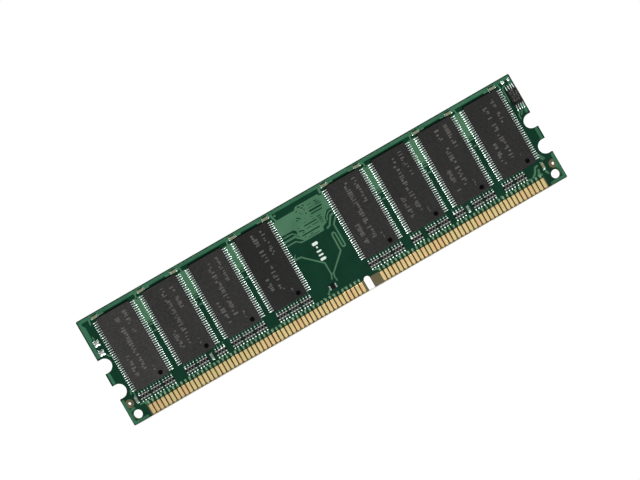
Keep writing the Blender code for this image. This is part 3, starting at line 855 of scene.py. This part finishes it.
def two_terminal(name, node, body_finish, upright, pad_reach=0.34 * MM):
    """A capacitor or resistor with capped ends, and its solder, which reaches pad_reach beyond each end."""
    low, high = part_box(node)
    axis, along = (2, 0) if upright else (0, 2)
    left, right = low[axis], high[axis]
    side_middle, half_side = (low[along] + high[along]) / 2, (high[along] - low[along]) / 2
    front, cap = -low.y, 0.32 * MM
    body, metal, solder = Solids(), Solids(), Solids()

    def stretch(start, end, half_width):
        """Centre and size of a rectangle from start to end along the part."""
        return placed(upright, (start + end) / 2, side_middle, abs(end - start), 2 * half_width)

    body.bar(*stretch(left + 0.1 * MM, right - 0.1 * MM, half_side - 0.025 * MM), FACE + 0.03 * MM,
             front - 0.03 * MM, 0.02 * MM, 0.05 * MM)
    for outer, sign in ((left, -1), (right, 1)):
        metal.bar(*stretch(outer - sign * cap, outer, half_side), FACE + 0.015 * MM, front - 0.002 * MM,
                  0.035 * MM, 0.05 * MM)
        # the solder on the pad, and the fillet against the end
        for start, end, half_width, height in ((-0.22 * MM, pad_reach, half_side - 0.02 * MM, 0.05 * MM),
                                               (-0.05 * MM, 0.08 * MM, half_side * 0.8, 0.15 * MM)):
            solder.mound(*stretch(outer + sign * start, outer + sign * end, half_width), CORE_TOP,
                         FACE + height, 0.1 * MM)
    body.show(f"{name}_body", body_finish, [node], 30)
    metal.show(f"{name}_ends", CAP_ENDS, (), 30)
    solder.show(f"{name}_solder", PAD_SOLDER, (), 60)


def make_two_terminals():
    """Ten capacitors above the chips, four beside the arrays, and the resistor in the middle."""
    for number in range(1, 11):
        two_terminal(f"top_capacitor_{number:02d}", f"decoupling_capacitor_{number:02d}", CAPACITOR, False)
    for number in range(1, 5):
        finish = CAPACITOR if number == 4 else GREY_CERAMIC
        two_terminal(f"low_capacitor_{number}", f"line_capacitor_{number}", finish, True)
    two_terminal("middle_resistor", "series_resistor", GLAZE, False, 0.16 * MM)


# ---------------------------------------------------------------- copper under the mask

def tracks(solids, width, *paths):
    """Copper strips along paths given in millimetres from the left-hand end and the contact edge."""
    for path in paths:
        solids.track([from_left(x, z) for x, z in path], width)


def via(solids, x, z, radius=VIA):
    """A plated hole with its ring, tented by the mask but for a small dent."""
    levels = ((1.0, UNDER_MASK), (0.86, FACE - 0.001 * MM), (0.42, FACE - 0.001 * MM),
              (0.30, FACE - 0.022 * MM))
    solids.loft([solids.level(circle(x, z, radius * share, 14), height) for share, height in levels])


def edge_band(solids):
    """The ground strip just inside the board's ends and upper edge."""
    tracks(solids, 0.85 * MM, [(0.75, 20.6), (0.75, 31.0), (132.6, 31.0), (132.6, 20.6)],
           [(0.85, 15.3), (0.85, 12.5)], [(132.5, 15.3), (132.5, 12.5)],
           [(0.55, 7.2), (0.55, 1.0)], [(132.8, 7.2), (132.8, 1.0)])
    tracks(solids, 0.75 * MM, [(0.55, 0.55), (4.4, 0.55)], [(132.8, 0.55), (128.9, 0.55)],
           [(0.6, 3.9), (2.2, 4.1)], [(132.7, 3.0), (132.2, 3.7)])
    tracks(solids, 1.1 * MM, [(1.1, 25.6), (1.1, 29.2)])


def between_chips(solids):
    """Copper in the gaps between neighbouring chips: a pour above and a few links below it."""
    widest_gap = 5 * MM
    # links: height above the contact edge, start and end beside the gap's middle
    links = ((21.35, -1.2, 1.2), (22.05, -1.2, 1.2), (19.35, -0.35, 1.3), (20.3, -1.3, -0.5),
             (10.1, -1.3, -0.7), (13.0, 0.7, 1.3))
    for left, right in zip(CHIPS[:-1], CHIPS[1:]):
        gap_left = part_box(f"memory_lead_frame_{left}")[1].x
        gap_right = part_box(f"memory_lead_frame_{right}")[0].x
        if gap_right - gap_left > widest_gap:
            continue
        middle = (gap_left + gap_right) / 2
        solids.bar(middle, 25.9 * MM, 3.0 * MM, 7.0 * MM, UNDER_MASK, solids.copper_top(), COPPER_SLOPE,
                   0.3 * MM)
        for z, start, end in links:
            solids.track([(middle + start * MM, z * MM), (middle + end * MM, z * MM)], TRACK)


def capacitor_links(solids):
    """Strips from the capacitors above the chips down to the copper between them."""
    for number in range(1, 11):
        low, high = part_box(f"decoupling_capacitor_{number:02d}")
        middle, z = (low.x + high.x) / 2, (low.z + high.z) / 2
        nearest = min(CHIPS, key=lambda chip: abs(chip_middle(chip) - middle))
        sign = 1 if middle > chip_middle(nearest) else -1
        far, near = (high.x, low.x) if sign > 0 else (low.x, high.x)
        start = far + sign * 0.5 * MM
        outer = start + sign * 0.55 * MM
        solids.track([(start, z), (outer, z), (outer + sign * 0.15 * MM, 29.2 * MM)], 0.42 * MM)
        inner = near - sign * 0.4 * MM
        solids.track([(inner, z), (inner - sign * 1.0 * MM, z)], 0.5 * MM)
        via(solids, inner - sign * 1.1 * MM, z, 0.32 * MM)


def contact_fanout(solids, chooser):
    """Strips from the array pads down to the contacts, and stubs with vias over the contacts left free."""
    centres = contact_centres()
    overlap = 0.1 * MM
    taken = set()
    for x, middle in array_pads():
        near = min(range(len(centres)), key=lambda index: abs(centres[index] - x))
        start = middle - ARRAY_HALF_WIDTH - PAD_REACH + overlap
        if near in taken:
            solids.track([(x, start), (x, start - 0.35 * MM)], STUB)
            continue
        taken.add(near)
        end = centres[near]
        solids.track([(x, start), (x, 4.25 * MM), (end, 3.8 * MM), (end, STUB_FOOT)], STUB)
    for index, x in enumerate(centres):
        if index in taken:
            continue
        drift = chooser.choice((-0.3, 0.0, 0.25)) * MM
        solids.track([(x, STUB_FOOT), (x, 3.45 * MM), (x + drift, 3.85 * MM)], STUB)
        if chooser.random() < 0.6:
            via(solids, x + drift, chooser.choice((3.9, 4.1)) * MM)
    for x, middle in array_pads():
        solids.track([(x, middle + 1.2 * MM), (x, middle + 2.0 * MM)], FINE_TRACK)


# The pour in the open middle area: its edge, and its gaps as a width followed by a path
POUR_EDGE = ((58.9, 28.55), (65.4, 28.55), (66.1, 29.3), (72.8, 29.3), (73.5, 28.65), (74.4, 28.65),
             (74.4, 24.4), (73.1, 24.4), (71.7, 22.9), (71.5, 21.5), (70.1, 21.0), (69.8, 20.0),
             (64.4, 19.95), (63.6, 20.6), (63.6, 21.3), (63.1, 22.1), (63.3, 23.5), (62.6, 24.1),
             (58.9, 24.1))
POUR_GAPS = ((0.46, (69.0, 26.35), (72.5, 26.35)), (0.32, (69.0, 25.5), (72.2, 25.5)),
             (0.32, (65.8, 23.58), (69.4, 23.58)), (0.34, (64.1, 21.55), (69.3, 21.55)),
             (0.34, (63.75, 22.95), (64.4, 22.95), (65.1, 22.6)), (0.30, (65.05, 26.4), (65.8, 25.8)),
             (0.26, (64.6, 25.9), (64.95, 25.6)), (0.40, (66.7, 28.75), (67.1, 28.75)),
             (0.40, (67.4, 28.15), (67.6, 28.15)), (0.30, (68.0, 28.75), (68.3, 28.5)),
             (0.26, (65.7, 27.9), (65.95, 28.1)), (0.24, (67.95, 27.6), (67.85, 27.3)),
             (0.28, (67.85, 26.5), (67.85, 26.2)), (0.22, (71.2, 28.25), (72.0, 28.1)),
             (0.22, (71.4, 27.8), (72.5, 27.55)), (0.22, (71.2, 27.25), (72.8, 27.05)),
             (0.24, (70.0, 24.1), (71.0, 24.1)), (0.24, (70.2, 23.55), (71.1, 23.5)),
             (0.24, (70.2, 23.0), (71.0, 23.0)), (0.18, (67.9, 22.8), (69.6, 22.8)),
             (0.18, (65.9, 22.7), (67.3, 22.7)), (0.18, (64.5, 22.3), (65.1, 22.15)),
             (0.18, (68.5, 24.9), (68.8, 24.8)), (0.18, (68.7, 24.2), (69.0, 24.2)),
             (0.14, (66.9, 25.2), (67.1, 25.2)), (0.14, (66.1, 24.4), (66.6, 24.4)),
             (0.20, (64.5, 20.95), (64.7, 20.9)), (0.20, (66.3, 20.95), (66.9, 20.95)),
             (0.16, (65.3, 20.45), (68.6, 20.45)), (0.18, (63.9, 24.1), (64.2, 23.8)),
             (0.20, (70.3, 22.3), (70.9, 22.35)), (0.12, (69.2, 28.1), (70.4, 28.1)),
             (0.12, (69.0, 27.2), (70.4, 27.2)), (0.12, (66.3, 27.2), (67.0, 26.6)))


def make_pour(name, edge, holes, side):
    """A copper pour under the mask, cut through by its holes."""
    add_piece(name, plate(name, [edge, *holes], UNDER_MASK, COPPER_TOP - 0.004 * MM, side), MASKED_COPPER)


def make_middle_pour():
    """The copper pour in the open middle area, cut through by its isolation gaps."""
    edge = rounded_outline([(*from_left(x, z), 0.15 * MM) for x, z in POUR_EDGE], 3)
    gaps = [ribbon([from_left(x, z) for x, z in path], width * MM) for width, *path in POUR_GAPS]
    make_pour("middle_masked_copper", edge, gaps, FRONT)


def middle_routing(solids):
    """Strips that run into the middle pour from the chips beside it, and a long looped pair below it."""
    tracks(solids, TRACK, [(59.0, 23.4), (61.9, 23.4), (63.2, 22.2)],
           [(59.0, 21.1), (61.8, 21.1), (62.9, 20.2), (64.6, 20.15)],
           [(74.3, 23.75), (73.3, 23.75), (72.3, 22.9), (71.9, 22.0)])
    tracks(solids, 0.55 * MM, [(59.0, 22.3), (62.2, 22.3), (63.8, 20.75)],
           [(74.3, 22.8), (73.2, 22.6), (71.7, 20.35), (70.9, 20.1)])
    tracks(solids, 0.44 * MM,
           [(59.2, 16.85), (60.8, 16.85), (65.6, 12.35), (65.65, 8.9), (65.1, 7.7)],
           [(66.0, 7.8), (66.4, 8.9), (70.95, 13.1), (71.05, 17.9), (71.3, 18.25), (71.7, 18.25),
            (71.95, 17.9), (71.95, 14.0), (72.15, 13.7), (72.6, 13.7), (72.8, 14.0), (72.85, 20.1),
            (74.2, 21.6)],
           [(65.7, 8.85), (66.4, 8.85)], [(59.2, 30.4), (59.4, 29.4), (59.9, 28.7)],
           [(74.1, 30.1), (74.0, 29.4), (74.3, 28.7)])
    tracks(solids, FINE_TRACK, [(59.1, 17.5), (59.9, 18.1)])
    for x, z in ((71.0, 21.7), (70.95, 20.1), (59.3, 17.4), (60.2, 29.9), (62.4, 4.6)):
        via(solids, *from_left(x, z), 0.34 * MM)
    tracks(solids, TRACK, [(62.4, 4.4), (62.7, 4.9), (63.1, 5.5)], [(66.2, 6.7), (66.1, 7.6)])


def end_routing(solids):
    """Strips near the board's two ends."""
    tracks(solids, TRACK, [(2.05, 24.9), (2.05, 26.0)], [(2.9, 20.3), (3.5, 19.4), (4.1, 19.4)],
           [(4.2, 7.2), (4.2, 8.4)], [(4.2, 4.2), (5.3, 4.2), (5.9, 3.3)],
           [(4.0, 9.0), (3.6, 8.6), (3.4, 7.8)], [(129.2, 9.0), (129.7, 8.6), (130.4, 7.3)],
           [(129.3, 8.3), (129.9, 7.2)],
           [(131.0, 21.5), (130.3, 20.7), (130.3, 19.6)], [(131.7, 21.5), (131.0, 20.5)],
           [(132.2, 29.7), (132.2, 30.1)], [(129.9, 25.0), (129.9, 28.9), (130.4, 29.4), (130.9, 29.6)])
    tracks(solids, 0.6 * MM, [(125.3, 4.3), (126.2, 5.0), (127.0, 6.4), (127.7, 6.5)],
           [(127.5, 5.4), (127.1, 4.4), (127.6, 3.8)], [(124.6, 4.1), (123.8, 4.3)],
           [(129.0, 4.2), (129.4, 3.4)])


def make_front_copper():
    """All the copper that shows through the mask on the chip side."""
    copper, edge = Solids(), Solids()
    edge_band(edge)
    between_chips(copper)
    capacitor_links(copper)
    contact_fanout(copper, Random(7))
    middle_routing(copper)
    end_routing(copper)
    copper.show("front_masked_copper", MASKED_COPPER, (), 20)
    edge.show("front_edge_strip", MASKED_EDGE, (), 20)
    make_middle_pour()


def back_fanout(solids, chooser):
    """Strips that climb from the back's contacts and lean together and apart, in groups ending in vias."""
    centres = contact_centres()
    knee, wave, widest_lean = 4.1 * MM, 28.2 * MM, 1.9 * MM
    first = 0
    while first < len(centres):
        size = chooser.choice((4, 5, 6, 7))
        # in millimetres, where the group's first strip ends and how much higher each next one does
        base, rise = chooser.choice(((6.3, 0.7), (7.4, 1.0), (11.9, -0.8), (9.6, -0.6), (8.2, 0.0)))
        for step, x in enumerate(centres[first:first + size]):
            if chooser.random() < 0.15:
                solids.track([(x, STUB_FOOT), (x, 4.0 * MM)], BACK_TRACK)
                via(solids, x, knee, BACK_VIA)
                continue
            lean = widest_lean * sin(2 * pi * x / wave)
            top = (base + rise * step) * MM
            path = [(x, STUB_FOOT), (x, knee), (x + lean, knee + abs(lean)), (x + lean, top)]
            solids.track(path, BACK_TRACK)
            via(solids, x + lean, top, BACK_VIA)
        first += size


def back_vias(solids, chooser):
    """Two staggered columns of vias behind each side of every chip, most of them with a short strip."""
    for number in CHIPS:
        for sign in (-1, 1):
            for row in range(11):
                if chooser.random() < 0.25:
                    continue
                x = chip_middle(number) + sign * (4.35 + 0.9 * (row % 2)) * MM
                z = (13.2 + 0.65 * row) * MM if row < 10 else 8.4 * MM
                via(solids, x, z, BACK_VIA)
                if chooser.random() < 0.6:
                    reach = sign * chooser.choice((0.9, 1.5, 2.2)) * MM
                    solids.track([(x, z), (x - reach, z)], BACK_TRACK)
                    via(solids, x - reach, z, BACK_VIA)


def back_bus(solids):
    """Long strips side by side across the back, which end one after another in vias."""
    lanes, pitch, drop = 7, 0.72 * MM, 0.9 * MM
    for lane in range(lanes):
        z = 20.7 * MM + lane * pitch
        start, end = (-60.5 + 2.1 * (lane * 3 % lanes)) * MM, (60.0 - 2.4 * (lane * 5 % lanes)) * MM
        jog = (lane - 3) * 0.5 * MM
        left, right = -24 * MM - jog, 9.5 * MM + jog
        solids.track([(start, z), (left, z), (left + drop, z - drop), (right, z - drop), (right + drop, z),
                      (end, z)], BACK_TRACK)
        for x in (start, end):
            via(solids, x, z, BACK_VIA)


def back_pours(solids, chooser):
    """Copper pours along the upper part of the back, with clear rings round the vias that pass through."""
    foot, top = 26.0, 30.05
    for number, (left, right) in enumerate(((-62.0, -33.4), (-32.4, -4.2), (-3.2, 25.6), (26.6, 61.6)), 1):
        holes = []
        x = left + 1.7
        while x < right - 1.5:
            z = chooser.choice((26.9, 27.6, 28.4, 29.1))
            if chooser.random() < 0.72:
                holes.append(circle(x * MM, z * MM, 0.52 * MM, 16))
                via(solids, x * MM, z * MM, BACK_VIA)
            x += chooser.choice((1.3, 1.7, 2.6, 3.4))
        corners = [(left, foot), (right, foot), (right, top), (left, top)]
        edge = rounded_outline([(x * MM, z * MM, 0.5 * MM) for x, z in corners], 4)
        make_pour(f"back_pour_{number}", edge, holes, BACK)


def make_back_copper():
    """The back, which carries no components: fan-out from the contacts, a bus, pours and vias."""
    copper, edge = Solids(BACK), Solids(BACK)
    chooser = Random(23)
    edge_band(edge)
    back_fanout(copper, chooser)
    back_vias(copper, chooser)
    back_bus(copper)
    back_pours(copper, chooser)
    copper.show("back_masked_copper", MASKED_COPPER, (), 20)
    edge.show("back_edge_strip", MASKED_EDGE, (), 20)


# ---------------------------------------------------------------- bare pads and printing

def make_bare_pads():
    """Tinned pads that carry nothing: two test pads at the left-hand end and two by the small chip."""
    steps, pinch, fullness = 32, 0.24, 1.08
    solder = Solids()
    turns = [2 * pi * step / steps for step in range(steps)]
    for centre in (from_left(2.08, 24.0), from_left(2.08, 21.2)):
        rings = []
        for size, height in ((1.70, CORE_TOP), (1.66, FACE + 0.02 * MM), (1.45, FACE + 0.07 * MM),
                             (0.7, FACE + 0.10 * MM)):
            ring = []
            for turn in turns:
                reach = size / 2 * MM * (1.0 - pinch * cos(4 * turn)) * fullness
                ring.append((centre[0] + reach * cos(turn), centre[1] + reach * sin(turn)))
            rings.append(solder.level(ring, height))
        solder.loft(rings)
    for x, width in ((130.75, 1.05), (132.45, 0.75)):
        solder.mound(*from_left(x, 30.4), width * MM, 0.72 * MM, CORE_TOP, FACE + 0.11 * MM, 0.14 * MM)
    solder.show("bare_pads", LEAD_TIN, (), 60)


def make_printing():
    """Plain white printed bars where a board carries its marking."""
    # height above the contact edge, and size along X and Z
    bars = ((18.1, 1.7, 0.85), (17.0, 0.42, 0.6), (15.85, 1.4, 0.46), (14.75, 1.4, 0.46), (13.55, 1.6, 0.75))
    for (side, face), x in zip(FACES, (-0.8 * MM, 3.0 * MM)):
        printing = Solids(side)
        for z, width, height in bars:
            radius = 0.42 * height if width > height else 0.15
            printing.bar(x, z * MM, width * MM, height * MM, MASK_TOP - 0.004 * MM, MASK_TOP + 0.014 * MM,
                         0.0, radius * MM)
        printing.show(f"{face}_printing", PRINT)


# ---------------------------------------------------------------- stage

def make_stage():
    """A wide pale floor under the contact edge."""
    reach = 30.0  # metres, far past the edge of the picture
    solid = bmesh.new()
    bmesh.ops.create_circle(solid, cap_ends=True, segments=96, radius=reach)
    mesh = bpy.data.meshes.new("floor")
    solid.to_mesh(mesh)
    solid.free()
    mesh.materials.append(FLOOR.material)
    floor = bpy.data.objects.new("floor", mesh)
    floor.location.z = -0.03 * MM
    floor.visible_shadow = floor.visible_glossy = floor.visible_diffuse = False
    bpy.context.scene.collection.objects.link(floor)


def direction(azimuth, elevation):
    """The way to a place seen from the module; azimuth 0 is in front of the chips and 90 to their right."""
    turn, rise = radians(azimuth), radians(elevation)
    return Vector((sin(turn) * cos(rise), -cos(turn) * cos(rise), sin(rise)))


def make_sun(name, azimuth, elevation, strength, softness):
    """Light from far away, whose source is softness degrees wide."""
    light = bpy.data.lights.new(name, "SUN")
    light.energy = strength
    light.angle = radians(softness)
    lamp = bpy.data.objects.new(name, light)
    lamp.rotation_mode = "QUATERNION"
    lamp.rotation_quaternion = direction(azimuth, elevation).to_track_quat("Z", "Y")
    bpy.context.scene.collection.objects.link(lamp)


def make_light():
    """Light from above for the floor, and soft light from below and both sides, in front and behind.

    The floor casts no shadow, so that the light from below passes through it as through a light table.
    """
    make_sun("overhead", 0, 90, 3.6, 30)
    make_sun("front_below", 2, -28, 3.9, 8)
    make_sun("front_right", 46, -14, 0.80, 40)
    make_sun("front_left", -48, -14, 0.55, 40)
    make_sun("back_below", 178, -28, 3.9, 8)
    make_sun("back_right", 120, -8, 0.55, 40)
    make_sun("back_left", 240, -8, 0.55, 40)
    world = bpy.data.worlds.new("studio")
    world.use_nodes = True
    tree = world.node_tree
    tree.nodes.clear()
    output = tree.nodes.new("ShaderNodeOutputWorld")
    choose, path = tree.nodes.new("ShaderNodeMixShader"), tree.nodes.new("ShaderNodeLightPath")
    tree.links.new(path.outputs["Is Camera Ray"], choose.inputs[0])
    for socket, strength in ((1, 0.14), (2, 1.0)):  # a dim fill, and the white backdrop that the camera sees
        background = tree.nodes.new("ShaderNodeBackground")
        background.inputs["Color"].default_value = (1.0, 1.0, 1.0, 1.0)
        background.inputs["Strength"].default_value = strength
        tree.links.new(background.outputs[0], choose.inputs[socket])
    tree.links.new(choose.outputs[0], output.inputs["Surface"])
    bpy.context.scene.world = world


def make_camera():
    """A long lens almost square to the chips, rolled so that the board climbs to the right."""
    distance, roll = 0.44503, radians(29.931)
    aim = Vector((0.880 * MM, 0, 18.285 * MM))
    towards = direction(-0.434, -0.076)
    camera = bpy.data.cameras.new("camera")
    camera.lens = 93.66
    camera.sensor_width = 36.0
    camera.clip_end = 100.0
    holder = bpy.data.objects.new("camera", camera)
    holder.location = aim + towards * distance
    holder.rotation_mode = "QUATERNION"
    holder.rotation_quaternion = towards.to_track_quat("Z", "Y") @ Quaternion((0, 0, 1), -roll)
    bpy.context.scene.collection.objects.link(holder)
    bpy.context.scene.camera = holder
    bpy.context.scene.view_settings.view_transform = "Standard"


make_board()
make_contacts()
make_memory_chips()
make_config_chip()
make_resistor_arrays()
make_two_terminals()
make_front_copper()
make_back_copper()
make_bare_pads()
make_printing()
make_stage()
make_light()
make_camera()
